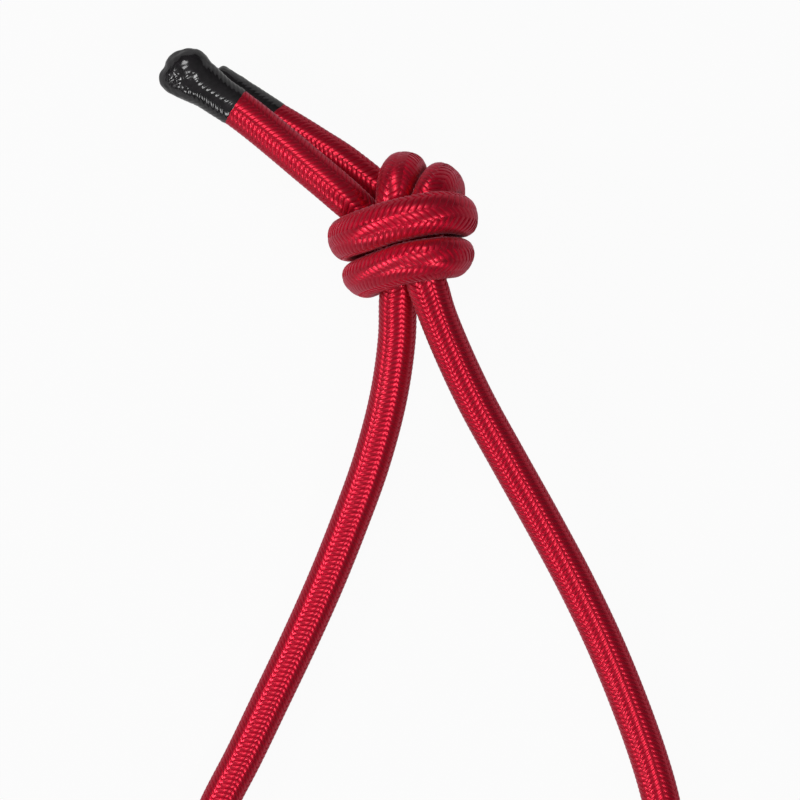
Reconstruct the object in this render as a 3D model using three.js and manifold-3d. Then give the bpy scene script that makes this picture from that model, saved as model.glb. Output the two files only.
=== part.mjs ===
// A bungee cord lying on a table: an elastic cord bent double and tied on itself with one overhand knot.
// The loop lies below the knot (towards -Y), and two tails with dipped tips lie above it.
// Units are millimetres, +Z is up, and the origin is on the table under the knot.
import * as THREE from "three";
import { mergeVertices } from "three/addons/utils/BufferGeometryUtils.js";
import Module from "manifold-3d";

const wasm = await Module();
wasm.setup();

// The cord: a braided sheath round a bundle of rubber threads.
const CORD_DIAMETER = 8;
const SHEATH_WALL = 1.2;
const CORE_CLEARANCE = 0.3; // from the core to the sheath, and to the socket in a tip
const CORE_THREADS = 6; // threads that show as ribs round the core
const CORE_GROOVE = 0.35; // depth between two ribs
const END_CLEARANCE = 0.3; // between stretches that meet end to end

// How the cord gives where it is pressed.
const KNOT_SQUEEZE = 0.9; // share of the diameter that the tight knot leaves
const REST_FLAT = 0.1; // share of the diameter that is pressed flat on the table

// The loop, measured between the middles of the cord.
const LOOP_WIDTH = 106;
const LOOP_MIDDLE = 5; // how far the loop lies to the right of the origin
const LEG_REACH = 154; // from the origin down to where the two legs run side by side
const BIGHT_DEPTH = 53; // from there down to the end of the loop

// The dipped tips.
const TIP_GRIP = 11.5; // how far the core reaches into a tip
const FRONT_TIP = { length: 16.9, bulb: 10.8 };
const BACK_TIP = { length: 14.6, bulb: 8.4 };
const TIP_NECK_SHARE = 0.3; // share of a tip that is still as slim as the cord
const TIP_BULB_SHARE = 0.7; // share of a tip at which its bulb is widest

// How finely the round shapes are divided.
const SHEATH_SIDES = 12;
const BORE_SIDES = 10;
const TIP_SIDES = 20;
const TIP_NECK_RINGS = 5;
const TIP_END_RINGS = 6;
const KNOT_STEPS = 48;
const LEG_STEPS = 13;
const BIGHT_STEPS = 20;
const TAIL_STEPS = 5;
const BIGHT_POINTS = 12;
const ARC_DIVISIONS = 40; // divisions between two points when lengths along the cord are measured
const GAP_STEP = 0.5; // spacing of the points on which the knot's gaps are measured
const NEIGHBOUR_REACH = 2.5; // a strand within this many diameters along the cord counts as the same place

const SHEATH_RED = 0xb3122c;
const RUBBER_GREY = 0xcfc6b4;
const TIP_BLACK = 0x121113;

// The two strands through the knot, from the legs to the tails, in cord diameters: right, up and above the table.
const LEFT_STRAND = [
  [0.02, -2.22, 2.42],
  [0.06, -1.38, 2.73],
  [-0.14, -0.6, 2.99],
  [-0.2, 0.13, 3.03],
  [-0.14, 0.76, 2.8],
  [0.12, 1.23, 2.22],
  [0.4, 1.18, 1.42],
  [0.44, 0.67, 0.66],
  [0, 0, 0.35],
  [-0.65, -0.53, 0.54],
  [-1.19, -0.84, 1.2],
  [-1.39, -0.86, 2.18],
  [-1.29, -0.73, 3.17],
  [-0.84, -0.51, 3.96],
  [-0.17, -0.26, 4.36],
  [0.53, -0.08, 4.49],
  [1.14, 0.01, 4.32],
  [1.57, 0, 3.84],
  [1.69, -0.05, 3.16],
  [1.48, -0.1, 2.44],
  [0.94, -0.09, 1.82],
  [0.22, 0.13, 1.51],
  [-0.57, 0.7, 1.5],
];
const RIGHT_STRAND = [
  [0.91, -2.22, 3.14],
  [0.7, -1.38, 3.46],
  [0.66, -0.55, 3.54],
  [0.73, 0.13, 3.35],
  [0.96, 0.67, 2.89],
  [1.19, 0.88, 2.2],
  [1.34, 0.66, 1.36],
  [1.23, 0.01, 0.72],
  [0.66, -0.71, 0.48],
  [-0.1, -1.34, 0.6],
  [-0.73, -1.68, 1.2],
  [-0.94, -1.76, 2.12],
  [-0.85, -1.67, 3.07],
  [-0.38, -1.46, 3.86],
  [0.28, -1.26, 4.38],
  [0.9, -1.15, 4.49],
  [1.41, -1.09, 4.2],
  [1.65, -1.09, 3.6],
  [1.55, -1.13, 2.9],
  [1.16, -1.16, 2.22],
  [0.66, -1.14, 1.87],
  [0.08, -0.85, 1.84],
  [-0.52, -0.36, 2.08],
];

// The tails from the knot to the rims of the tips, in cord diameters. The front tail lies on the back one.
const BACK_TAIL = [
  [-1.44, 1.37, 1.38],
  [-2.06, 1.77, 1.18],
  [-2.68, 2.16, 0.98],
  [-3.32, 2.54, 0.8],
];
const FRONT_TAIL = [
  [-1.33, 0.42, 2.38],
  [-2.4, 1.33, 2.24],
  [-3.42, 2.19, 1.92],
  [-3.86, 2.54, 1.81],
  [-4.25, 2.83, 1.73],
];

// The legs as shares of the way from the knot to the bight: down, out, and how much of the first height is left.
const LEFT_LEG = [
  [0.06, 0.005, 0.81],
  [0.15, 0.042, 0.555],
  [0.25, 0.117, 0.345],
  [0.34, 0.209, 0.19],
  [0.43, 0.311, 0.085],
  [0.52, 0.425, 0.03],
  [0.61, 0.547, 0.006],
  [0.7, 0.67, 0],
  [0.77, 0.773, 0],
  [0.85, 0.875, 0],
  [0.93, 0.964, 0],
];
const RIGHT_LEG = [
  [0.06, 0.061, 0.854],
  [0.15, 0.173, 0.648],
  [0.25, 0.321, 0.457],
  [0.34, 0.457, 0.3],
  [0.43, 0.587, 0.178],
  [0.52, 0.704, 0.087],
  [0.61, 0.805, 0.032],
  [0.7, 0.892, 0.005],
  [0.77, 0.945, 0],
  [0.85, 0.981, 0],
  [0.93, 0.997, 0],
];

const cordRadius = CORD_DIAMETER / 2;
const lieHeight = cordRadius - REST_FLAT * CORD_DIAMETER;

// Points given in cord diameters, as places in millimetres.
function inMillimetres(points) {
  return points.map(([x, y, z]) => new THREE.Vector3(x, y, z).multiplyScalar(CORD_DIAMETER));
}

// A leg's points between its first point at the knot and its last at the bight.
function legPoints(shares, first, last) {
  return shares.map(([down, out, up]) => new THREE.Vector3(
    THREE.MathUtils.lerp(first.x, last.x, out),
    THREE.MathUtils.lerp(first.y, last.y, down),
    THREE.MathUtils.lerp(last.z, first.z, up),
  ));
}

// The bight that closes the loop, from the left leg's end to the right one's: half an ellipse on the table.
function bightPoints() {
  const points = [];
  for (let i = 0; i <= BIGHT_POINTS; i++) {
    const turn = (Math.PI * i) / BIGHT_POINTS;
    const x = LOOP_MIDDLE - (LOOP_WIDTH / 2) * Math.cos(turn);
    const y = -LEG_REACH - BIGHT_DEPTH * Math.sin(turn);
    points.push(new THREE.Vector3(x, y, lieHeight));
  }
  return points;
}

// One route for the whole cord, from the back tip round the loop to the front tip, in its named runs.
const leftStrand = inMillimetres(LEFT_STRAND);
const rightStrand = inMillimetres(RIGHT_STRAND);
const bight = bightPoints();
const leftLeg = legPoints(LEFT_LEG, leftStrand[0], bight[0]);
const rightLeg = legPoints(RIGHT_LEG, rightStrand[0], bight[BIGHT_POINTS]);
const runs = [
  inMillimetres(BACK_TAIL).reverse(),
  leftStrand.reverse(),
  leftLeg,
  bight,
  rightLeg.reverse(),
  rightStrand,
  inMillimetres(FRONT_TAIL),
];
const route = new THREE.CatmullRomCurve3(runs.flat());
route.arcLengthDivisions = (route.points.length - 1) * ARC_DIVISIONS;
const cordLength = route.getLength();
const firstDirection = route.getTangent(0);
const lastDirection = route.getTangent(1);

// How far along the cord one of the route's points lies.
function lengthTo(point) {
  return route.getLengths()[route.points.indexOf(point) * ARC_DIVISIONS];
}

// A place on the cord. Beyond its ends the route runs straight on, into the tips.
function placeAt(length, target) {
  route.getPointAt(THREE.MathUtils.clamp(length / cordLength, 0, 1), target);
  if (length < 0) target.addScaledVector(firstDirection, length);
  if (length > cordLength) target.addScaledVector(lastDirection, length - cordLength);
  return target;
}

// A stretch of the cord between two lengths along it.
class Stretch extends THREE.Curve {
  constructor(from, to) {
    super();
    this.from = from;
    this.to = to;
  }

  getPoint(t, target = new THREE.Vector3()) {
    return placeAt(THREE.MathUtils.lerp(this.from, this.to, t), target);
  }
}

// Points round a circle.
function ring(radius, sides) {
  return Array.from({ length: sides }, (_, i) => {
    const turn = (2 * Math.PI * i) / sides;
    return new THREE.Vector2(radius * Math.cos(turn), radius * Math.sin(turn));
  });
}

function sheathSection(squeeze) {
  const section = new THREE.Shape(ring(squeeze * cordRadius, SHEATH_SIDES));
  section.holes.push(new THREE.Path(ring(squeeze * (cordRadius - SHEATH_WALL), BORE_SIDES)));
  return section;
}

// A bundle of rubber threads: ribs round the outside with a groove between each two.
function coreSection(squeeze) {
  const crest = squeeze * (cordRadius - SHEATH_WALL) * Math.cos(Math.PI / BORE_SIDES) - CORE_CLEARANCE;
  const points = ring(crest, 2 * CORE_THREADS);
  points.forEach((point, i) => {
    if (i % 2) point.setLength(crest - CORE_GROOVE);
  });
  return new THREE.Shape(points);
}

function sweep(section, from, to, steps) {
  return new THREE.ExtrudeGeometry(section, { steps, bevelEnabled: false, extrudePath: new Stretch(from, to) });
}

function solidOf(geometry) {
  const bare = geometry.clone();
  bare.deleteAttribute("normal");
  bare.deleteAttribute("uv");
  const merged = mergeVertices(bare);
  const vertProperties = merged.attributes.position.array;
  const triVerts = new Uint32Array(merged.index.array);
  return new wasm.Manifold(new wasm.Mesh({ numProp: 3, vertProperties, triVerts }));
}

function geometryOf(solid) {
  const { vertProperties, triVerts } = solid.getMesh();
  const geometry = new THREE.BufferGeometry();
  geometry.setAttribute("position", new THREE.BufferAttribute(vertProperties, 3));
  geometry.setIndex(new THREE.BufferAttribute(triVerts, 1));
  geometry.computeVertexNormals();
  return geometry;
}

// Presses a shape flat where it would sink into the table.
function pressedFlat(geometry) {
  geometry.computeBoundingBox();
  const { min, max } = geometry.boundingBox;
  if (min.z >= 0) return geometry;
  const table = new THREE.BoxGeometry(2 * (max.x - min.x), 2 * (max.y - min.y), CORD_DIAMETER);
  table.translate((min.x + max.x) / 2, (min.y + max.y) / 2, -CORD_DIAMETER / 2);
  return geometryOf(solidOf(geometry).subtract(solidOf(table)));
}

// A tip turned about its axis: the core's socket, the slim neck at the rim, then the bulb where the cut end spread.
function tipGeometry({ length, bulb }) {
  const neck = TIP_NECK_SHARE * length;
  const widest = TIP_BULB_SHARE * length;
  const socket = cordRadius - SHEATH_WALL;
  const profile = [
    new THREE.Vector2(0, TIP_GRIP + CORE_CLEARANCE),
    new THREE.Vector2(socket, TIP_GRIP + CORE_CLEARANCE),
    new THREE.Vector2(socket, 0),
    new THREE.Vector2(cordRadius, 0),
  ];
  for (let i = 0; i < TIP_NECK_RINGS; i++) {
    const share = i / TIP_NECK_RINGS;
    const radius = THREE.MathUtils.lerp(cordRadius, bulb / 2, THREE.MathUtils.smoothstep(share, 0, 1));
    profile.push(new THREE.Vector2(radius, THREE.MathUtils.lerp(neck, widest, share)));
  }
  for (let i = 0; i < TIP_END_RINGS; i++) {
    const turn = ((Math.PI / 2) * i) / TIP_END_RINGS;
    const along = widest + (length - widest) * Math.sin(turn);
    profile.push(new THREE.Vector2((bulb / 2) * Math.cos(turn), along));
  }
  profile.push(new THREE.Vector2(0, length));
  return new THREE.LatheGeometry(profile, TIP_SIDES);
}

const group = new THREE.Group();

function addMesh(name, geometry, color, roughness) {
  const material = new THREE.MeshStandardMaterial({ color, roughness, metalness: 0 });
  const mesh = new THREE.Mesh(geometry, material);
  mesh.name = name;
  group.add(mesh);
}

// A stretch's sheath, and its core, which reaches further at an end that goes into a tip.
function addStretch(place, from, to, steps, squeeze, coreFrom = from, coreTo = to) {
  const [stretch, side] = place;
  const suffix = side ? "_" + side : "";
  const half = END_CLEARANCE / 2;
  const sheath = sweep(sheathSection(squeeze), from + half, to - half, steps);
  const core = sweep(coreSection(squeeze), coreFrom + half, coreTo - half, steps);
  addMesh(stretch + "_sheath" + suffix, pressedFlat(sheath), SHEATH_RED, 0.55);
  addMesh(stretch + "_core" + suffix, core, RUBBER_GREY, 0.8);
}

function addTip(name, size, rim, direction) {
  const geometry = tipGeometry(size);
  const turn = new THREE.Quaternion().setFromUnitVectors(new THREE.Vector3(0, 1, 0), direction);
  const place = rim.clone().addScaledVector(direction, END_CLEARANCE / 2);
  geometry.applyQuaternion(turn).translate(place.x, place.y, place.z);
  addMesh(name, pressedFlat(geometry), TIP_BLACK, 0.3);
}

const backTailEnd = lengthTo(runs[0].at(-1));
const leftKnotEnd = lengthTo(runs[1].at(-1));
const leftLegEnd = lengthTo(bight[0]);
const bightEnd = lengthTo(bight.at(-1));
const rightLegEnd = lengthTo(rightStrand[0]);
const rightKnotEnd = lengthTo(runs[6][0]);

addStretch(["tail", "back"], 0, backTailEnd, TAIL_STEPS, 1, -TIP_GRIP);
addStretch(["knot", "left"], backTailEnd, leftKnotEnd, KNOT_STEPS, KNOT_SQUEEZE);
addStretch(["leg", "left"], leftKnotEnd, leftLegEnd, LEG_STEPS, 1);
addStretch(["bight"], leftLegEnd, bightEnd, BIGHT_STEPS, 1);
addStretch(["leg", "right"], bightEnd, rightLegEnd, LEG_STEPS, 1);
addStretch(["knot", "right"], rightLegEnd, rightKnotEnd, KNOT_STEPS, KNOT_SQUEEZE);
addStretch(["tail", "front"], rightKnotEnd, cordLength, TAIL_STEPS, 1, rightKnotEnd, cordLength + TIP_GRIP);
addTip("end_cap_back", BACK_TIP, route.getPoint(0), firstDirection.clone().negate());
addTip("end_cap_front", FRONT_TIP, route.getPoint(1), lastDirection);

// Places along a stretch, each with how far along the cord it is.
function placesAlong(from, to) {
  const count = Math.round((to - from) / GAP_STEP);
  return Array.from({ length: count + 1 }, (_, i) => {
    const length = THREE.MathUtils.lerp(from, to, i / count);
    return { length, at: placeAt(length, new THREE.Vector3()) };
  });
}

// The least clear distance between two runs of the squeezed cord, leaving out places that are neighbours along it.
function leastGap(some, others) {
  let least = Infinity;
  for (const a of some) {
    for (const b of others) {
      if (Math.abs(a.length - b.length) < NEIGHBOUR_REACH * CORD_DIAMETER) continue;
      least = Math.min(least, a.at.distanceTo(b.at));
    }
  }
  return (least - KNOT_SQUEEZE * CORD_DIAMETER).toFixed(2);
}

const leftPlaces = placesAlong(backTailEnd, leftKnotEnd);
const rightPlaces = placesAlong(rightLegEnd, rightKnotEnd);
console.log("cord length " + (cordLength + 2 * TIP_GRIP).toFixed(1) + " mm");
console.log("least gap of the left strand to itself " + leastGap(leftPlaces, leftPlaces) + " mm");
console.log("least gap of the right strand to itself " + leastGap(rightPlaces, rightPlaces) + " mm");
console.log("least gap between the strands " + leastGap(leftPlaces, rightPlaces) + " mm");

export default group;
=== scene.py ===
# %% [markdown]
# # A bungee cord tied on itself
# The object is one length of shock cord: rubber threads inside a sheath of braided red yarn. It is bent
# double and tied with a single overhand knot, so a loop hangs below the knot and two tails with dipped
# black tips stand above it. The frame holds the cord as plain tubes. This lesson lays real yarns along that
# route, because the columns of slanting stitches, each bright or dark as its yarns face the light, are most
# of what the eye sees on such a cord.

# %% Load the frame
import math

import bpy
import numpy as np
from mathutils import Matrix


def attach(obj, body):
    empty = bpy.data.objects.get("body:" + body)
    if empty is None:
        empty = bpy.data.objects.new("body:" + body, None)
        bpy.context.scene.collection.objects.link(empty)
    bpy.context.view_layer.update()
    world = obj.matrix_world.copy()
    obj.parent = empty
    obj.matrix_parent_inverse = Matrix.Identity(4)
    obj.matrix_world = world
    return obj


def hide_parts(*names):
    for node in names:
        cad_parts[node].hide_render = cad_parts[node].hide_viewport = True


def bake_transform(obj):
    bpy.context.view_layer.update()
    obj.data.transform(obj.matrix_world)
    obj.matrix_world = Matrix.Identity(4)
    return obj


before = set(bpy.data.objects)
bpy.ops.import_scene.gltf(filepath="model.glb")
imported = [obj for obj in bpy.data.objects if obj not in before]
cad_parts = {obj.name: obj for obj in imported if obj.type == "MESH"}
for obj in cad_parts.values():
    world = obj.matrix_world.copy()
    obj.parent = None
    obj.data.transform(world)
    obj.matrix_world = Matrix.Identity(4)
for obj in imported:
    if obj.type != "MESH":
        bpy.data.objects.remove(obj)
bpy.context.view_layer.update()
bpy.ops.object.select_all(action="DESELECT")

# %% [markdown]
# ## The camera
# The photograph looks straight down on a cord that lies on a table. The cord is equally wide near the
# camera and far from it, so the picture was taken from far off. A long lens three metres up gives the same
# flat view.

# %% The camera
SENSOR_WIDTH = 36
PICTURE_WIDTH = 0.16667  # metres of table that the picture spans
PICTURE_MIDDLE = (0.0006, -0.0386)
CAMERA_HEIGHT = 3.0
SHARP_HEIGHT = 0.012  # the height at which the picture has exactly that width

camera_data = bpy.data.cameras.new("camera")
camera_data.sensor_width = SENSOR_WIDTH
camera_data.lens = SENSOR_WIDTH * (CAMERA_HEIGHT - SHARP_HEIGHT) / PICTURE_WIDTH
camera_data.clip_end = 100
camera = bpy.data.objects.new("camera", camera_data)
camera.location = (*PICTURE_MIDDLE, CAMERA_HEIGHT)
bpy.context.scene.collection.objects.link(camera)
bpy.context.scene.camera = camera
print("Lens:", round(camera_data.lens), "mm")

# %% [markdown]
# ## The route
# The cord's middle line follows the frame's route. Only in the knot does it differ: pressed strands give
# way to each other, so they can lie tighter there than plain tubes could. The knot and the tails are in
# cord diameters, and the legs in shares of the way from the knot to the bight. A centripetal Catmull-Rom
# curve runs through all the points without overshooting where they lie close together.

# %% The route's points
CORD = 0.008  # the cord's diameter
LIE = 0.4 * CORD  # height of its middle where it lies on the table
LOOP_WIDTH = 0.106  # from leg to leg where the bight begins
LOOP_MIDDLE = 0.005  # how far to the right of the knot the bight lies
LEG_REACH = 0.154  # how far below the knot it begins
BIGHT_DEPTH = 0.053
BIGHT_POINTS = 12

# The two strands through the knot, from the legs to the tails: right, up and above the table.
LEFT_STRAND = [
    (0.02, -2.22, 2.42), (0.06, -1.38, 2.73), (-0.09, -0.35, 2.95), (-0.05, 0.35, 3.04), (0.02, 0.78, 3),
    (0.1, 1.07, 2.76), (0.17, 1.21, 2.38), (0.22, 1.23, 1.95), (0.27, 1.1, 1.35), (0.3, 0.67, 0.66),
    (-0.03, 0, 0.35), (-0.65, -0.5, 0.54), (-1.19, -0.7, 1.2), (-1.39, -0.66, 2.18), (-1.29, -0.6, 3.17),
    (-0.84, -0.45, 3.96), (-0.17, -0.24, 4.36), (0.53, -0.08, 4.49), (1.14, 0.01, 4.32), (1.57, -0.02, 3.84),
    (1.69, -0.07, 3.16), (1.48, -0.1, 2.44), (0.94, -0.09, 1.82), (0.22, 0.13, 1.51), (-0.57, 0.7, 1.5),
]
RIGHT_STRAND = [
    (0.91, -2.22, 3.14), (0.7, -1.38, 3.46), (0.71, -0.38, 3.4), (0.85, 0.2, 3.45), (0.98, 0.54, 3.38),
    (1.1, 0.76, 3.12), (1.19, 0.86, 2.75), (1.25, 0.87, 2.3), (1.29, 0.7, 1.45), (1.2, 0.01, 0.72),
    (0.66, -0.71, 0.48), (-0.1, -1.34, 0.6), (-0.73, -1.64, 1.2), (-0.93, -1.71, 2.12), (-0.84, -1.63, 3.07),
    (-0.38, -1.46, 3.86), (0.28, -1.26, 4.38), (0.9, -1.17, 4.49), (1.36, -1.12, 4.2), (1.55, -1.14, 3.6),
    (1.47, -1.18, 2.9), (1.11, -1.21, 2.22), (0.66, -1.14, 1.87), (0.08, -0.85, 1.84), (-0.52, -0.36, 2.08),
]
# The tails, from the knot to the rims of the tips.
BACK_TAIL = [(-1.44, 1.37, 1.38), (-2.06, 1.77, 1.18), (-2.68, 2.16, 0.98), (-3.32, 2.54, 0.8)]
FRONT_TAIL = [
    (-1.33, 0.42, 2.38), (-2.4, 1.33, 2.24), (-3.42, 2.19, 1.92), (-3.86, 2.54, 1.81), (-4.25, 2.83, 1.73),
]
# The legs: shares of the way down and of the way sideways, and of the height that is left.
LEFT_LEG = [
    (0.06, 0.005, 0.81), (0.15, 0.042, 0.555), (0.25, 0.117, 0.345), (0.34, 0.209, 0.19),
    (0.43, 0.311, 0.085), (0.52, 0.425, 0.03), (0.61, 0.547, 0.006), (0.7, 0.67, 0),
    (0.77, 0.773, 0), (0.85, 0.875, 0), (0.93, 0.964, 0),
]
RIGHT_LEG = [
    (0.06, 0.061, 0.854), (0.15, 0.173, 0.648), (0.25, 0.321, 0.457), (0.34, 0.457, 0.3),
    (0.43, 0.587, 0.178), (0.52, 0.704, 0.087), (0.61, 0.805, 0.032), (0.7, 0.892, 0.005),
    (0.77, 0.945, 0), (0.85, 0.981, 0), (0.93, 0.997, 0),
]


def leg_points(shares, first, last):
    """The points of a leg, from its shares of the way between its first and its last point."""
    shares = np.array(shares, float)
    x = first[0] + (last[0] - first[0]) * shares[:, 1]
    y = first[1] + (last[1] - first[1]) * shares[:, 0]
    z = last[2] + (first[2] - last[2]) * shares[:, 2]
    return np.stack([x, y, z], 1)


left_strand = CORD * np.array(LEFT_STRAND)
right_strand = CORD * np.array(RIGHT_STRAND)
sweep = np.pi * np.arange(BIGHT_POINTS + 1) / BIGHT_POINTS
bight_line = np.stack([
    LOOP_MIDDLE - LOOP_WIDTH / 2 * np.cos(sweep),
    -LEG_REACH - BIGHT_DEPTH * np.sin(sweep),
    np.full_like(sweep, LIE),
], 1)
runs = [
    CORD * np.array(BACK_TAIL)[::-1],
    left_strand[::-1],
    leg_points(LEFT_LEG, left_strand[0], bight_line[0]),
    bight_line,
    leg_points(RIGHT_LEG, right_strand[0], bight_line[-1])[::-1],
    right_strand,
    CORD * np.array(FRONT_TAIL),
]
points = np.concatenate(runs)
print(len(points), "points")

# %% The smooth route, measured along its length
FINE = 60  # places between two points


def smooth_line(p):
    """The centripetal Catmull-Rom curve through the points p, with FINE places to each span."""
    p = np.concatenate([[2 * p[0] - p[1]], p, [2 * p[-1] - p[-2]]])
    t = np.arange(FINE)[:, None] / FINE
    spans = []
    for p0, p1, p2, p3 in zip(p, p[1:], p[2:], p[3:]):
        d0, d1, d2 = (math.sqrt(np.linalg.norm(b - a)) for a, b in ((p0, p1), (p1, p2), (p2, p3)))
        t1 = ((p1 - p0) / d0 - (p2 - p0) / (d0 + d1) + (p2 - p1) / d1) * d1
        t2 = ((p2 - p1) / d1 - (p3 - p1) / (d1 + d2) + (p3 - p2) / d2) * d1
        c2 = 3 * (p2 - p1) - 2 * t1 - t2
        c3 = 2 * (p1 - p2) + t1 + t2
        spans.append(p1 + t1 * t + c2 * t**2 + c3 * t**3)
    return np.concatenate([*spans, p[-2:-1]])


def lengths_along(p):
    """The length along a line up to each of its points p."""
    return np.concatenate([[0], np.cumsum(np.linalg.norm(np.diff(p, axis=0), axis=1))])


line = smooth_line(points)
line_length = lengths_along(line)
run_starts = np.cumsum([0] + [len(r) for r in runs])
point_length = line_length[::FINE]
cord_length = line_length[-1]
print("Cord from rim to rim:", round(1000 * cord_length, 1), "mm")

# %% [markdown]
# ## Frames along the cord
# Yarns wind round the cord, so every place on it needs a direction to count their turns from. A frame that
# is carried along the route without spinning gives one. The braid's columns are then turned a little, so
# that they meet the camera on each leg and on the front tail as they do in the photograph.

# %% Frames along the cord
LEAD = 0.01305  # length of cord in which a yarn goes round once
COLUMNS = 4  # columns of rising stitches round the cord, and as many of falling ones
REPEAT = 2 * math.pi / COLUMNS  # the turn after which the pattern repeats
STEPS_PER_TURN = 36
STEP = LEAD / STEPS_PER_TURN

count = int(cord_length / STEP) + 1
along = np.linspace(0, cord_length, count)
middle = np.stack([np.interp(along, line_length, line[:, k]) for k in range(3)], 1)
ahead = np.gradient(middle, axis=0)
ahead /= np.linalg.norm(ahead, axis=1)[:, None]


def frame_at(place):
    """The frame nearest to a length along the cord."""
    return int(round(place / cord_length * (count - 1)))


carried = np.zeros_like(middle)
carried[0] = (0, 0, 1)
for i in range(count):
    side = carried[max(i - 1, 0)]
    side = side - ahead[i] * (side @ ahead[i])
    carried[i] = side / np.linalg.norm(side)
carried_side = np.cross(ahead, carried)

# Where the middle of a rising column meets the camera: (place along the cord, degrees to the cord's right).
COLUMN_MARKS = [
    (point_length[run_starts[2] + 1], 6.5),
    (point_length[run_starts[3]], 6.5),
    (point_length[run_starts[4]], -11),
    (point_length[run_starts[5] - 1], -6.5),
    (point_length[run_starts[6] + 1], -29.5),
    (cord_length, -29.5),
]
mark_turns = []
for place, degrees in COLUMN_MARKS:
    i = frame_at(place)
    upward = math.atan2(carried_side[i][2], carried[i][2])
    turn = upward + math.radians(degrees)
    if mark_turns:
        turn -= REPEAT * round((turn - mark_turns[-1]) / REPEAT)
    mark_turns.append(turn)
roll = np.interp(along, [m[0] for m in COLUMN_MARKS], mark_turns)[:, None]
column = np.cos(roll) * carried + np.sin(roll) * carried_side
column_side = np.cross(ahead, column)
print(count, "frames, columns turned at", [round(math.degrees(t)) for t in mark_turns], "degrees")

# %% [markdown]
# ## How the cord is pressed
# A shock cord is soft. In the tight knot each strand is pressed against its neighbours: it goes flat where
# it touches them, and swells sideways where it is free, so the bands across the front are wider than the
# loose cord. The shape of the section is worked out for each place: a free outline first, then a limit
# half-way to every strand that lies close by, and the table as one more limit.

# %% The pressed section at every place
SIDES = 48
OUTWARD_TOP = 0.435  # half-thickness of a strand across the knot's front, in diameters
OUTWARD_SIDE = 0.405  # and where it turns down the knot's side
SIDEWAYS_TOP = 0.585  # half-width of a strand along the knot's front, where it swells
SIDEWAYS_SIDE = 0.545  # and on its sides
KNOT_MIDDLE = CORD * np.array([0.1, -0.35, 2.3])
BEFORE_KNOT = 0.5 * CORD  # a strand goes from round to pressed between here, outside the knot,
INTO_KNOT = 1.2 * CORD  # and here, inside it
ROUND_WITHIN = 0.5 * CORD  # distance from the knot's middle up to which strands stay round
PRESSED_BEYOND = 1.3 * CORD  # and from which on they are pressed in full
FRONT_RISE = (0.2, 0.9)  # how steeply up from the knot's middle its front begins, and is reached in full
APART = 2.2 * CORD  # a place this far along the cord counts as a neighbour
CLOSE = 1.5 * CORD  # if its middle is no further off than this
SOFTNESS = 14  # how sharply the free outline gives way to a limit
TINY = 1e-9

angles = 2 * np.pi * np.arange(SIDES) / SIDES
coarse = np.arange(0, count, 2)
knot_runs = [(point_length[run_starts[1] - 1], point_length[run_starts[2] - 1]),
             (point_length[run_starts[5]], point_length[run_starts[6]])]


def ease(x, low, high):
    """0 up to low, 1 from high on, and a smooth step between them."""
    t = np.clip((x - low) / (high - low), 0, 1)
    return t * t * (3 - 2 * t)


in_knot = np.zeros(count)
for start, end in knot_runs:
    rise = ease(along, start - BEFORE_KNOT, start + INTO_KNOT)
    fall = 1 - ease(along, end - INTO_KNOT, end + BEFORE_KNOT)
    in_knot = np.maximum(in_knot, rise * fall)

section = np.zeros((len(coarse), SIDES))
for row, i in enumerate(coarse):
    rays = np.cos(angles)[:, None] * column[i] + np.sin(angles)[:, None] * column_side[i]
    away = middle[i] - KNOT_MIDDLE
    away = away - ahead[i] * (away @ ahead[i])
    distance = np.linalg.norm(away)
    pressed = in_knot[i] * ease(distance, ROUND_WITHIN, PRESSED_BEYOND)
    outward = rays @ away / max(distance, TINY)
    front = ease(away[2] / max(distance, TINY), *FRONT_RISE)
    sideways = SIDEWAYS_SIDE + (SIDEWAYS_TOP - SIDEWAYS_SIDE) * front
    thickness = OUTWARD_SIDE + (OUTWARD_TOP - OUTWARD_SIDE) * front
    long_half = CORD * (0.5 + (sideways - 0.5) * pressed)
    short_half = CORD * (0.5 + (thickness - 0.5) * pressed)
    free = 1 / np.sqrt((outward / short_half) ** 2 + (1 - outward**2) / long_half**2)
    tightest = np.maximum(-rays[:, 2] / middle[i][2], TINY)
    gap = middle[coarse] - middle[i]
    far = np.linalg.norm(gap, axis=1)
    near = (np.abs(along[coarse] - along[i]) > APART) & (far < CLOSE)
    if near.any():
        reach = far[near]
        facing = rays @ (gap[near] / reach[:, None]).T
        tightest = np.maximum(tightest, (2 * facing / reach).max(1))
    section[row] = ((1 / free) ** SOFTNESS + tightest**SOFTNESS) ** (-1 / SOFTNESS)


def blur(values, width, axis, wrap):
    """A Gaussian blur along one axis of a grid."""
    kernel = np.exp(-0.5 * (np.arange(-3 * width, 3 * width + 1) / width) ** 2)
    kernel /= kernel.sum()
    result = np.zeros_like(values)
    pads = [(3 * width, 3 * width) if a == axis else (0, 0) for a in (0, 1)]
    padded = np.pad(values, pads, mode="wrap" if wrap else "edge")
    for k, weight in enumerate(kernel):
        result += weight * np.take(padded, np.arange(k, k + values.shape[axis]), axis=axis)
    return result


section = blur(section, width=2, axis=0, wrap=False)  # along the cord
section = blur(section, width=1, axis=1, wrap=True)  # and round it
section = np.stack([np.interp(np.arange(count), coarse, section[:, k]) for k in range(SIDES)], 1)
least, most = (round(1000 * half_width, 2) for half_width in (section.min(), section.max()))
print("Half-width of the section:", least, "to", most, "mm")

# %% [markdown]
# ## The braid
# Twenty-four yarns are braided three over and three under, twelve winding each way. In such a twill a yarn
# is outside for an eighth of a turn and inside for the next, always in the same columns, so the cord shows
# columns of slanting stitches that meet in points. Each yarn is a flattened tube that dips and rises with
# its column. The stitches crowd together in sharp bends, and lie further apart where the knot draws the
# cord taut.

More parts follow.
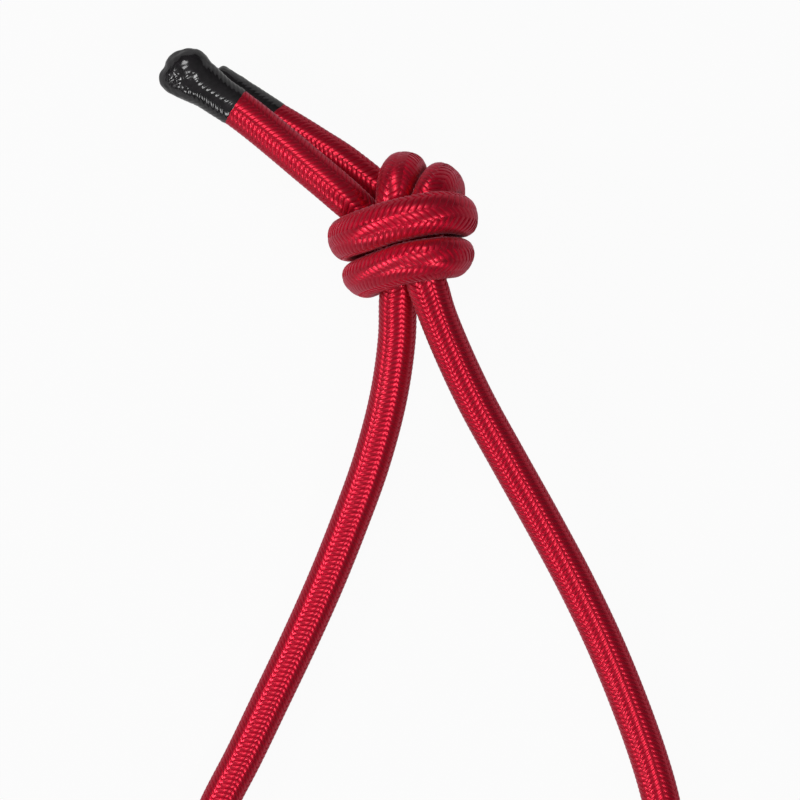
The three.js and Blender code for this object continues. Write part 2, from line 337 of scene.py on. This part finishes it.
# %% How a yarn winds
CARRIERS = 12  # yarns winding each way
FIRST_YARN = 0.25  # where the first yarn starts, in shares of the space between two
YARN_WIDTH = 0.00122
YARN_THICKNESS = 0.00046
YARN_DIP = 0.00011  # how far a yarn goes in and out from its mean
FLOAT_CURVE = 0.03  # how far a yarn swings ahead of its even winding and back, in radians
STEEPNESS = 2.5  # how sharply a yarn goes from outside to inside
SPREAD = (0.7, 1.5)  # the least and the most that a bend makes of a yarn's width
BENDS = (0.9, 2)  # radians per diameter at which stitches begin to crowd, and at which they crowd most
CROWDING = 0.8  # how much more often a yarn winds where the cord bends most sharply
DRAWN_OUT = 0.12  # and how much less often in the taut knot


def wave(angle):
    """+1 in the columns where a rising yarn is outside, -1 where it is inside."""
    return np.tanh(STEEPNESS * np.cos(COLUMNS * angle))


def half_width_at(i, angle):
    """The pressed section's half-width at the frames i, each in its own direction."""
    spot = np.mod(angle, 2 * np.pi) / (2 * np.pi) * SIDES
    low = spot.astype(int) % SIDES
    share = spot - np.floor(spot)
    return section[i, low] * (1 - share) + section[i, (low + 1) % SIDES] * share


bending = np.gradient(ahead, axis=0) / STEP
tight = ease(CORD * np.linalg.norm(bending, axis=1), *BENDS)
winding = np.cumsum(1 + CROWDING * tight - DRAWN_OUT * in_knot) / STEPS_PER_TURN


def yarn_line(i, way, number):
    """The middle line of one yarn over the frames i, with its outward directions and its spread in bends."""
    angle = way * 2 * np.pi * winding[i] + 2 * np.pi * (number + FIRST_YARN) / CARRIERS
    angle = angle + FLOAT_CURVE * np.sin(2 * COLUMNS * angle)
    lift = way * wave(angle)
    outward = np.cos(angle)[:, None] * column[i] + np.sin(angle)[:, None] * column_side[i]
    radius = half_width_at(i, angle) - YARN_THICKNESS / 2 - YARN_DIP * (1 - lift)
    spread = np.clip(1 - radius * np.sum(bending[i] * outward, axis=1), *SPREAD)
    return middle[i] + radius[:, None] * outward, outward, spread


print("A yarn winds round the cord", round(winding[-1]), "times")

# %% From lines to meshes
YARN_SIDES = 8


def tube(path, outward, width, thickness, sides):
    """Rings of points round a path, flat across the outward direction."""
    forward = np.gradient(path, axis=0)
    forward /= np.linalg.norm(forward, axis=1)[:, None]
    up = outward - forward * np.sum(outward * forward, axis=1)[:, None]
    up /= np.linalg.norm(up, axis=1)[:, None]
    across = np.cross(up, forward)
    turn = 2 * np.pi * np.arange(sides) / sides
    rings = path[:, None] + (width / 2 * np.cos(turn))[..., None] * across[:, None]
    return rings + thickness / 2 * np.sin(turn)[None, :, None] * up[:, None]


def ring_normals(rings):
    """The outward direction at each point of a tube."""
    around = np.roll(rings, -1, axis=1) - np.roll(rings, 1, axis=1)
    normals = np.cross(around, np.gradient(rings, axis=0))
    return normals / np.linalg.norm(normals, axis=2)[..., None]


def tubes_to_mesh(name, tubes, normals):
    """One mesh of closed tubes, each a grid of rings, with lengths and turns as its UV map."""
    vertices, quads, ends, uvs = [], [], [], []
    base = 0
    for number, rings in enumerate(tubes):
        n, sides = rings.shape[:2]
        vertices.append(rings.reshape(-1, 3))
        grid = base + np.arange(n * sides).reshape(n, sides)
        next_side = np.roll(grid, -1, axis=1)
        quads.append(np.stack([grid[:-1], next_side[:-1], next_side[1:], grid[1:]], -1).reshape(-1, 4))
        length = lengths_along(rings.mean(1)) / LEAD
        u = np.broadcast_to(length[:, None], (n, sides))
        v = np.broadcast_to(number + np.arange(sides) / sides, (n, sides))
        v_next = v + 1 / sides
        corner_u = np.stack([u[:-1], u[:-1], u[1:], u[1:]], -1)
        corner_v = np.stack([v[:-1], v_next[:-1], v_next[1:], v[1:]], -1)
        uvs.append(np.stack([corner_u, corner_v], -1).reshape(-1, 2))
        ends.append((list(grid[0][::-1]), list(grid[-1])))
        base += n * sides
    vertices = np.concatenate(vertices)
    quads = np.concatenate(quads)
    end_faces = [face for pair in ends for face in pair]
    corners = np.concatenate([quads.ravel(), *end_faces]).astype(np.int32)
    sizes = np.concatenate([np.full(len(quads), 4), [len(face) for face in end_faces]])
    mesh = bpy.data.meshes.new(name)
    mesh.vertices.add(len(vertices))
    mesh.vertices.foreach_set("co", vertices.astype(np.float32).ravel())
    mesh.loops.add(len(corners))
    mesh.loops.foreach_set("vertex_index", corners)
    mesh.polygons.add(len(sizes))
    mesh.polygons.foreach_set("loop_start", np.concatenate([[0], np.cumsum(sizes)[:-1]]).astype(np.int32))
    mesh.polygons.foreach_set("use_smooth", np.ones(len(sizes), bool))
    uv = np.zeros((len(corners), 2), np.float32)
    uv[: 4 * len(quads)] = np.concatenate(uvs)
    mesh.uv_layers.new(name="yarn").data.foreach_set("uv", uv.ravel())
    mesh.update()
    mesh.validate()
    mesh.normals_split_custom_set_from_vertices(np.concatenate([n.reshape(-1, 3) for n in normals]))
    piece = bpy.data.objects.new(name, mesh)
    bpy.context.scene.collection.objects.link(piece)
    return piece


print("A ring round a yarn has", YARN_SIDES, "points")

# %% Braid each stretch
def frames_between(start, end):
    """The frames from one length along the cord to another."""
    return np.arange(frame_at(start), frame_at(end) + 1)


def braided_piece(name, start, end):
    """All 24 yarns of one stretch of the cord, as one piece."""
    i = frames_between(start, end)
    # Two more frames on each side let neighbouring stretches end in the same rings with the same normals.
    wider = np.arange(max(i[0] - 2, 0), min(i[-1] + 3, count))
    kept = np.isin(wider, i)
    tubes, normals = [], []
    for way in (1, -1):
        for number in range(CARRIERS):
            path, outward, spread = yarn_line(wider, way, number)
            rings = tube(path, outward, YARN_WIDTH * spread[:, None], YARN_THICKNESS, YARN_SIDES)
            tubes.append(rings[kept])
            normals.append(ring_normals(rings)[kept])
    piece = tubes_to_mesh(name, tubes, normals)
    print(name, sum(len(p.vertices) - 2 for p in piece.data.polygons), "triangles")
    return piece


left_leg_start = point_length[run_starts[2] - 1]
bight_start = point_length[run_starts[3]]
bight_end = point_length[run_starts[4] - 1]
right_leg_end = point_length[run_starts[5]]
STRETCHES = {
    "strand_left": (0, left_leg_start),
    "leg_left": (left_leg_start, bight_start),
    "bight": (bight_start, bight_end),
    "leg_right": (bight_end, right_leg_end),
    "strand_right": (right_leg_end, cord_length),
}
braids = {name: braided_piece("braid_" + name, *ends) for name, ends in STRETCHES.items()}

# %% [markdown]
# ## The rubber core
# Under the braid lies a bundle of rubber threads. It fills the sheath and keeps the gaps between yarns from
# showing daylight. It is a ribbed tube whose ribs are the outer threads of the bundle.

# %% The rubber core
CORE_SIDES = 24
CORE_THREADS = 8
CORE_STEP = 4  # frames between two rings
RIB = 0.00012  # how far a thread stands out
CORE_ROOM = 0.0001  # between the core and the innermost yarns


def core_piece(name, start, end):
    """The ribbed bundle inside one stretch of the cord."""
    i = frames_between(start, end)
    i = np.concatenate([i[:-1:CORE_STEP], i[-1:]])
    turn = 2 * np.pi * np.arange(CORE_SIDES) / CORE_SIDES
    rib = RIB * np.cos(CORE_THREADS * turn)
    rings = []
    for k, angle in enumerate(turn):
        radius = half_width_at(i, np.full(len(i), angle)) - YARN_THICKNESS - 2 * YARN_DIP - CORE_ROOM + rib[k]
        outward = math.cos(angle) * column[i] + math.sin(angle) * column_side[i]
        rings.append(middle[i] + radius[:, None] * outward)
    rings = np.stack(rings, 1)
    return tubes_to_mesh(name, [rings], [ring_normals(rings)])


cores = {name: core_piece("core_" + name, *ends) for name, ends in STRETCHES.items()}
print(len(cores), "stretches of core")

# %% [markdown]
# ## The dipped tips
# Each end of the cord was dipped in black sealer and melted. Near the red yarn the coat is thin and shows
# the braid as rows of beads. Towards the end it runs smooth over a blob where the cut end spread. A sphere
# is stretched along the cord's end, its rings are set to the blob's outline, and the surface is then raised
# over the hidden yarns. Displacing by noise pushes soft lumps into the blob and fine creases into its cut
# face.

# %% Shape a tip
TIP_SEGMENTS, TIP_RINGS = 144, 160
BEADS_BEGIN = (-0.04, 0.06)  # distances from the rim, in diameters, over which the beads rise
BEADS_END = (0.85, 1.45)  # and fade again
BEADS_CLEAR = (0.05, 0.1)  # shares of the outline that keep the beads off the sphere's pole
LUMPS_BEGIN = (0.5, 1.4)  # distances from the rim over which the blob gets lumpy
LUMPS = (0.004, 0.0006)  # grain and height of the lumps, in metres
CREASES = (0.0013, 0.0007)  # and of the creases
FACE_HEIGHTS = (0, 0.1)  # heights over which the cut face begins, because it looks up
NOTCH_PLACE, NOTCH_WIDTH, NOTCH_LENGTH = -0.09, 0.13, 0.3  # a dent in the blob's end, in diameters


def wrinkle(piece, name, weights, grain, height):
    """Push the surface in and out by a cloud pattern, as far as each point's weight."""
    group = piece.vertex_groups.new(name=name)
    for index, weight in enumerate(weights):
        group.add([index], float(weight), "REPLACE")
    clouds = bpy.data.textures.new(name, "CLOUDS")
    clouds.noise_scale = grain
    clouds.noise_depth = 2
    modifier = piece.modifiers.new(name, "DISPLACE")
    modifier.texture = clouds
    modifier.texture_coords = "LOCAL"
    modifier.strength = height
    modifier.vertex_group = name
    bpy.ops.object.modifier_apply(modifier=name)
    piece.vertex_groups.remove(piece.vertex_groups[name])


def tip_piece(name, rim, way, axis, outline, beads, cut_face, notch):
    """A tip on the frame at the rim, where the cord ends forward (way 1) or backward (way -1). Each row of
    its outline holds a distance along the axis and the half-widths there to the upper side, the lower side,
    the top and the underside. The cut face has a distance, a place across, a size and a depth. They are all
    in diameters, and so are the height of the beads and the depth of the notch."""
    bpy.ops.object.select_all(action="DESELECT")
    bpy.ops.mesh.primitive_uv_sphere_add(segments=TIP_SEGMENTS, ring_count=TIP_RINGS, radius=1)
    piece = bpy.context.object
    piece.name = name
    piece.data.name = name
    co = np.zeros(3 * len(piece.data.vertices))
    piece.data.vertices.foreach_get("co", co)
    co = co.reshape(-1, 3)
    turn = np.arctan2(co[:, 1], co[:, 0])
    share = np.arccos(np.clip(co[:, 2], -1, 1)) / np.pi
    shape = smooth_line(np.array(outline, float))
    walk = lengths_along(shape[:, :2])
    distance, upper, lower, top, under = (np.interp(share, walk / walk[-1], shape[:, k]) for k in range(5))

    axis = np.array(axis, float) / np.linalg.norm(axis)
    upward = np.array([axis[1], -axis[0], 0]) / math.hypot(axis[0], axis[1])
    out_of_table = np.cross(upward, axis)
    across = np.cos(turn) * np.where(np.cos(turn) > 0, upper, lower)
    height = np.sin(turn) * np.where(np.sin(turn) > 0, top, under)

    outward = across[:, None] * upward + height[:, None] * out_of_table
    outward /= np.maximum(np.linalg.norm(outward, axis=1), TINY)[:, None]
    angle = np.arctan2(outward @ column_side[rim], outward @ column[rim])
    spot = 2 * np.pi * (winding[rim] + way * distance * CORD / LEAD)
    rising = np.cos(CARRIERS * (angle - spot) - math.pi / 2)
    falling = np.cos(CARRIERS * (angle + spot) - math.pi / 2)
    outside = 0.5 + 0.5 * wave(angle)
    yarns = np.sqrt(0.5 + 0.5 * (outside * rising + (1 - outside) * falling))
    relief = beads * yarns * ease(distance, *BEADS_BEGIN) * (1 - ease(distance, *BEADS_END))
    relief = relief * ease(share, *BEADS_CLEAR)

    face_at, face_across, face_size, face_depth = cut_face
    off_face = (distance - face_at) ** 2 + (across - face_across) ** 2
    on_face = np.exp(-off_face / face_size**2) * ease(height, *FACE_HEIGHTS)
    height = height - face_depth * on_face
    dent = notch * np.exp(-((across - NOTCH_PLACE) / NOTCH_WIDTH) ** 2)
    dent = dent * ease(distance, distance.max() - NOTCH_LENGTH, distance.max())
    place = middle[rim] + CORD * (
        (distance - dent)[:, None] * axis + across[:, None] * upward + height[:, None] * out_of_table
        + relief[:, None] * outward
    )
    piece.data.vertices.foreach_set("co", place.ravel())
    piece.data.update()
    bpy.ops.object.mode_set(mode="EDIT")
    bpy.ops.mesh.select_all(action="SELECT")
    bpy.ops.mesh.normals_make_consistent(inside=False)
    bpy.ops.object.mode_set(mode="OBJECT")
    wrinkle(piece, name + "_lumps", ease(distance, *LUMPS_BEGIN), *LUMPS)
    wrinkle(piece, name + "_creases", on_face, *CREASES)
    bpy.ops.object.shade_smooth()
    return piece


print("A tip starts as a sphere of", TIP_SEGMENTS, "by", TIP_RINGS, "faces")

# %% The two tips
FRONT_AXIS = (-0.851, 0.525, -0.04)
FRONT_OUTLINE = [
    (0.2, 0, 0, 0, 0), (-0.03, 0.3, 0.3, 0.3, 0.3), (-0.06, 0.46, 0.46, 0.46, 0.46),
    (-0.05, 0.502, 0.502, 0.502, 0.502), (0.15, 0.503, 0.503, 0.503, 0.503),
    (0.45, 0.525, 0.5, 0.52, 0.5), (0.86, 0.61, 0.5, 0.56, 0.52),
    (1.12, 0.66, 0.545, 0.58, 0.54), (1.35, 0.755, 0.575, 0.6, 0.57), (1.56, 0.766, 0.6, 0.58, 0.58),
    (1.69, 0.721, 0.602, 0.53, 0.57), (1.81, 0.64, 0.58, 0.46, 0.54), (1.94, 0.51, 0.525, 0.35, 0.46),
    (2.05, 0.38, 0.41, 0.22, 0.34), (2.12, 0.22, 0.26, 0.12, 0.2), (2.14, 0.1, 0.12, 0.05, 0.1),
    (2.14, 0, 0, 0, 0),
]
BACK_AXIS = (-0.829, 0.559, -0.16)
BACK_OUTLINE = [
    (0.2, 0, 0, 0, 0), (-0.1, 0.3, 0.3, 0.3, 0.3), (-0.14, 0.46, 0.46, 0.46, 0.46),
    (-0.13, 0.502, 0.502, 0.502, 0.502), (0.1, 0.503, 0.503, 0.503, 0.503),
    (0.6, 0.495, 0.495, 0.495, 0.495), (1.2, 0.495, 0.495, 0.495, 0.49),
    (1.6, 0.495, 0.495, 0.49, 0.48), (1.75, 0.48, 0.48, 0.46, 0.46), (1.83, 0.42, 0.42, 0.4, 0.4),
    (1.87, 0.3, 0.3, 0.28, 0.28), (1.88, 0.15, 0.15, 0.14, 0.14), (1.88, 0, 0, 0, 0),
]
tip_front = tip_piece(
    "tip_front", rim=count - 1, way=1, axis=FRONT_AXIS, outline=FRONT_OUTLINE,
    beads=0.012, cut_face=(1.57, -0.2, 0.36, 0.05), notch=0.05,
)
tip_back = tip_piece(
    "tip_back", rim=0, way=-1, axis=BACK_AXIS, outline=BACK_OUTLINE,
    beads=0.008, cut_face=(1.7, 0, 0.3, 0.02), notch=0,
)
print("Tips:", len(tip_front.data.vertices), "and", len(tip_back.data.vertices), "points")

# %% [markdown]
# ## Yarn, rubber and sealer
# A yarn is a bundle of fine shiny filaments that all run along it, so its shine is narrow along the yarn
# and broad across it, as on brushed metal. An anisotropic shader that follows the yarn's own UV map gives
# this, and so one column of stitches can be bright beside a dark one. The shine fades towards a yarn's
# edges, where its red is also painted darker as painted shade between neighbouring yarns. Noise stretched
# along the same map adds fine streaks, and a sheen stands for the fuzz at the cord's rims. The rubber and
# the sealer were moulded and poured, so they share a group of soft blotches.

# %% The yarn's material
CROWN_TO_EDGE = (0.45, 0.75)  # shares of a yarn's half-width over which its crown turns into its edge
STREAK_SCALES = (3.0, 22.0)  # along and across the yarn


def new_material(name, color, roughness):
    """A material with its nodes, its links and its shader."""
    material = bpy.data.materials.new(name)
    material.use_nodes = True
    shader = material.node_tree.nodes["Principled BSDF"]
    shader.inputs["Base Color"].default_value = (*color, 1)
    shader.inputs["Roughness"].default_value = roughness
    return material, material.node_tree.nodes, material.node_tree.links, shader


def arithmetic(nodes, links, operation, *values):
    """One Math node, fed with numbers and with the outputs of other nodes."""
    node = nodes.new("ShaderNodeMath")
    node.operation = operation
    for socket, value in zip(node.inputs, values):
        if isinstance(value, (int, float)):
            socket.default_value = value
        else:
            links.new(value, socket)
    return node.outputs["Value"]


def streaks(nodes, links, along_scale, across_scale):
    """Noise stretched along the yarn."""
    coordinates = nodes.new("ShaderNodeTexCoord")
    mapping = nodes.new("ShaderNodeMapping")
    mapping.inputs["Scale"].default_value = (along_scale, across_scale, 1)
    noise = nodes.new("ShaderNodeTexNoise")
    noise.inputs["Scale"].default_value = 1
    noise.inputs["Detail"].default_value = 3
    links.new(coordinates.outputs["UV"], mapping.inputs["Vector"])
    links.new(mapping.outputs["Vector"], noise.inputs["Vector"])
    return noise.outputs["Fac"]


def yarn_edge(nodes, links):
    """1 along a yarn's two edges, where it goes under its neighbours, and 0 on its crown."""
    coordinates = nodes.new("ShaderNodeTexCoord")
    split = nodes.new("ShaderNodeSeparateXYZ")
    links.new(coordinates.outputs["UV"], split.inputs["Vector"])
    turn = arithmetic(nodes, links, "MULTIPLY", split.outputs["Y"], 2 * math.pi)
    size = arithmetic(nodes, links, "ABSOLUTE", arithmetic(nodes, links, "COSINE", turn))
    edge = nodes.new("ShaderNodeMapRange")
    edge.interpolation_type = "SMOOTHSTEP"
    edge.inputs["From Min"].default_value, edge.inputs["From Max"].default_value = CROWN_TO_EDGE
    links.new(size, edge.inputs["Value"])
    return edge.outputs["Result"]


yarn_red, nodes, links, shader = new_material("yarn_red", (0.55, 0.004, 0.028), 0.4)
streak = streaks(nodes, links, *STREAK_SCALES)
ramp = nodes.new("ShaderNodeValToRGB")
ramp.color_ramp.elements[0].position = 0.3
ramp.color_ramp.elements[0].color = (0.46, 0.003, 0.022, 1)
ramp.color_ramp.elements[1].position = 0.7
ramp.color_ramp.elements[1].color = (0.64, 0.005, 0.034, 1)
links.new(streak, ramp.inputs["Fac"])
crevice = yarn_edge(nodes, links)
# Painted shade: the red is darker along a yarn's edges, where it goes under its neighbours.
painted_crevice_shade = nodes.new("ShaderNodeMix")
painted_crevice_shade.data_type = "RGBA"
painted_crevice_shade.inputs["B"].default_value = (0.42, 0.002, 0.018, 1)
links.new(crevice, painted_crevice_shade.inputs["Factor"])
links.new(ramp.outputs["Color"], painted_crevice_shade.inputs["A"])
links.new(painted_crevice_shade.outputs["Result"], shader.inputs["Base Color"])
bump = nodes.new("ShaderNodeBump")
bump.inputs["Strength"].default_value = 0.07
bump.inputs["Distance"].default_value = 0.0001
links.new(streak, bump.inputs["Height"])
links.new(bump.outputs["Normal"], shader.inputs["Normal"])
for socket, crown, valley in (("Metallic", 0.85, 0.4), ("Roughness", 0.36, 0.55), ("Coat Weight", 0.4, 0)):
    level = nodes.new("ShaderNodeMapRange")
    level.inputs["To Min"].default_value = crown
    level.inputs["To Max"].default_value = valley
    links.new(crevice, level.inputs["Value"])
    links.new(level.outputs["Result"], shader.inputs[socket])
SHINE = {
    "Specular Tint": (1, 0.4, 0.55, 1),
    "Specular IOR Level": 0.1,
    "Coat Roughness": 0.3,
    "Anisotropic": 0.7,
    "Anisotropic Rotation": 0.25,  # a quarter turn lays the broad way of the shine across the yarn
    "Sheen Weight": 0.35,
    "Sheen Roughness": 0.4,
    "Sheen Tint": (1, 0.4, 0.5, 1),
}
for socket, value in SHINE.items():
    shader.inputs[socket].default_value = value
grain = nodes.new("ShaderNodeTangent")
grain.direction_type = "UV_MAP"
grain.uv_map = "yarn"
links.new(grain.outputs["Tangent"], shader.inputs["Tangent"])
print("The yarn's material has", len(nodes), "nodes")

# %% Rubber and sealer
def mottle_group():
    """Soft blotches in the object's own space, for finishes that were poured or moulded."""
    group = bpy.data.node_groups.new("mottle", "ShaderNodeTree")
    group.interface.new_socket("Scale", in_out="INPUT", socket_type="NodeSocketFloat")
    group.interface.new_socket("Blotch", in_out="OUTPUT", socket_type="NodeSocketFloat")
    inputs = group.nodes.new("NodeGroupInput")
    outputs = group.nodes.new("NodeGroupOutput")
    coordinates = group.nodes.new("ShaderNodeTexCoord")
    noise = group.nodes.new("ShaderNodeTexNoise")
    noise.inputs["Detail"].default_value = 4
    noise.inputs["Roughness"].default_value = 0.6
    spread = group.nodes.new("ShaderNodeMapRange")
    spread.inputs["From Min"].default_value = 0.3
    spread.inputs["From Max"].default_value = 0.7
    group.links.new(coordinates.outputs["Object"], noise.inputs["Vector"])
    group.links.new(inputs.outputs["Scale"], noise.inputs["Scale"])
    group.links.new(noise.outputs["Fac"], spread.inputs["Value"])
    group.links.new(spread.outputs["Result"], outputs.inputs["Blotch"])
    return group


def mottled(name, mottle, scale, dark, light, smooth, rough):
    """A material whose blotches go from dark and smooth to light and rough."""
    material, nodes, links, shader = new_material(name, light, rough)
    blotch = nodes.new("ShaderNodeGroup")
    blotch.node_tree = mottle
    blotch.inputs["Scale"].default_value = scale
    tone = nodes.new("ShaderNodeMix")
    tone.data_type = "RGBA"
    tone.inputs["A"].default_value = (*dark, 1)
    tone.inputs["B"].default_value = (*light, 1)
    polish = nodes.new("ShaderNodeMapRange")
    polish.inputs["To Min"].default_value = smooth
    polish.inputs["To Max"].default_value = rough
    links.new(blotch.outputs["Blotch"], tone.inputs["Factor"])
    links.new(tone.outputs["Result"], shader.inputs["Base Color"])
    links.new(blotch.outputs["Blotch"], polish.inputs["Value"])
    links.new(polish.outputs["Result"], shader.inputs["Roughness"])
    return material


mottle = mottle_group()
core_rubber = mottled("core_rubber", mottle, 400, (0.42, 0.37, 0.3), (0.6, 0.55, 0.47), 0.6, 0.8)
sealer_black = mottled("sealer_black", mottle, 500, (0.004, 0.0035, 0.004), (0.012, 0.01, 0.012), 0.14, 0.22)
sealer_black.node_tree.nodes["Principled BSDF"].inputs["Specular IOR Level"].default_value = 0.55

for piece in braids.values():
    piece.data.materials.append(yarn_red)
for piece in cores.values():
    piece.data.materials.append(core_rubber)
for piece in (tip_front, tip_back):
    piece.data.materials.append(sealer_black)
print(len(bpy.data.materials), "materials")

# %% [markdown]
# ## Tie the pieces to the frame
# The strands and tips stay with the knot, and the bight moves as one. The legs are what stretches, so they
# are attached to neither body.

# %% Hide the frame's parts and attach the pieces to bodies
NODES = {
    "strand_left": ("knot_{}_left", "tail_{}_back"),
    "strand_right": ("knot_{}_right", "tail_{}_front"),
    "leg_left": ("leg_{}_left",),
    "leg_right": ("leg_{}_right",),
    "bight": ("bight_{}",),
}
for name in STRETCHES:
    for kind, piece in (("sheath", braids[name]), ("core", cores[name])):
        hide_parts(*(node.format(kind) for node in NODES[name]))
        if name.startswith("leg"):
            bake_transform(piece)
        else:
            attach(piece, "bight" if name == "bight" else "knot")
for piece, node in ((tip_front, "end_cap_front"), (tip_back, "end_cap_back")):
    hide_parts(node)
    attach(piece, "knot")

PATH_STEP = 8  # frames between two points of a cord's path
for name, (start, end) in STRETCHES.items():
    i = frames_between(start, end)
    path = middle[np.concatenate([i[:-1:PATH_STEP], i[-1:]])]
    if name == "strand_left":
        path = path[::-1]

# %% [markdown]
# ## Table, light and background
# The photograph is a cut-out on white, with rows of shine along the legs, the bands of the knot and its two
# arches. Small soft boxes make those rows, because each column of stitches answers another of them, and a
# low one reaches the left ends of the bands. The surround is dim at the horizon and brighter overhead. To
# the camera the table is white. To the cord it is mostly grey, because in the photograph the sides of the
# black tips stay dark.

# %% The table
TABLE_SIZE = 20
TABLE_GREY = (0.35, 0.35, 0.35)
# How much of its white the table shows to these rays. To all others it is grey.
WHITE_TO = (("Is Camera Ray", 0.95), ("Is Glossy Ray", 0.2), ("Is Transmission Ray", 0.3))

bpy.ops.object.select_all(action="DESELECT")
bpy.ops.mesh.primitive_plane_add(size=TABLE_SIZE, location=(0, 0, 0))
table = bpy.context.object
table.name = "table"
table_white, nodes, links, shader = new_material("table_white", TABLE_GREY, 0.9)
glow = nodes.new("ShaderNodeEmission")
glow.inputs["Color"].default_value = (1, 1, 1, 1)
light_path = nodes.new("ShaderNodeLightPath")
mix = nodes.new("ShaderNodeMixShader")
shown = 0
for ray, white in WHITE_TO:
    shown = arithmetic(nodes, links, "MULTIPLY_ADD", light_path.outputs[ray], white, shown)
links.new(shown, mix.inputs["Fac"])
links.new(shader.outputs["BSDF"], mix.inputs[1])
links.new(glow.outputs["Emission"], mix.inputs[2])
links.new(mix.outputs["Shader"], nodes["Material Output"].inputs["Surface"])
table.data.materials.append(table_white)

# %% Lights and world
LIGHT_DISTANCE = 1.2  # metres
LIT_PLACE = (0, -0.04, 0)  # the lamps stand round this place
HORIZON, ZENITH = 0.05, 0.3  # strength of the surround


def soft_box(name, direction, size, power):
    """A square lamp that stands in a direction from the cord and faces it."""
    data = bpy.data.lights.new(name, "AREA")
    data.shape = "SQUARE"
    data.size = size
    data.energy = power
    light = bpy.data.objects.new(name, data)
    light.location = np.array(LIT_PLACE) + LIGHT_DISTANCE * np.array(direction)
    light.rotation_mode = "QUATERNION"
    light.rotation_quaternion = light.location.to_track_quat("Z", "Y")
    bpy.context.scene.collection.objects.link(light)
    return light


def from_above(degrees, x, y):
    """The direction that leans by so many degrees from straight up towards x and y."""
    side = math.sin(math.radians(degrees)) / math.hypot(x, y)
    return (side * x, side * y, math.cos(math.radians(degrees)))


boxes = [
    soft_box("soft_box_left", from_above(56, -1, 0), 0.3, 4.2),
    soft_box("soft_box_front_left", from_above(62, -0.5, -0.87), 0.3, 3),
    soft_box("soft_box_front_right", from_above(38, 0.7, -0.7), 0.3, 3.4),
    soft_box("soft_box_above", from_above(12, -0.5, 0.87), 0.22, 2.6),
    soft_box("soft_box_back", from_above(50, -0.5, 0.87), 0.3, 2.8),
    soft_box("soft_box_low_left", from_above(78, -0.94, -0.34), 0.3, 0.8),
]

world = bpy.data.worlds.new("surround")
bpy.context.scene.world = world
world.use_nodes = True
nodes, links = world.node_tree.nodes, world.node_tree.links
nodes["Background"].inputs["Color"].default_value = (1, 1, 1, 1)
direction = nodes.new("ShaderNodeTexCoord")
split = nodes.new("ShaderNodeSeparateXYZ")
fade = nodes.new("ShaderNodeMapRange")
fade.inputs["To Min"].default_value = HORIZON
fade.inputs["To Max"].default_value = ZENITH
links.new(direction.outputs["Generated"], split.inputs["Vector"])
links.new(split.outputs["Z"], fade.inputs["Value"])
links.new(fade.outputs["Result"], nodes["Background"].inputs["Strength"])
bpy.context.scene.view_settings.view_transform = "Standard"
print(len(boxes), "soft boxes and a dim surround")
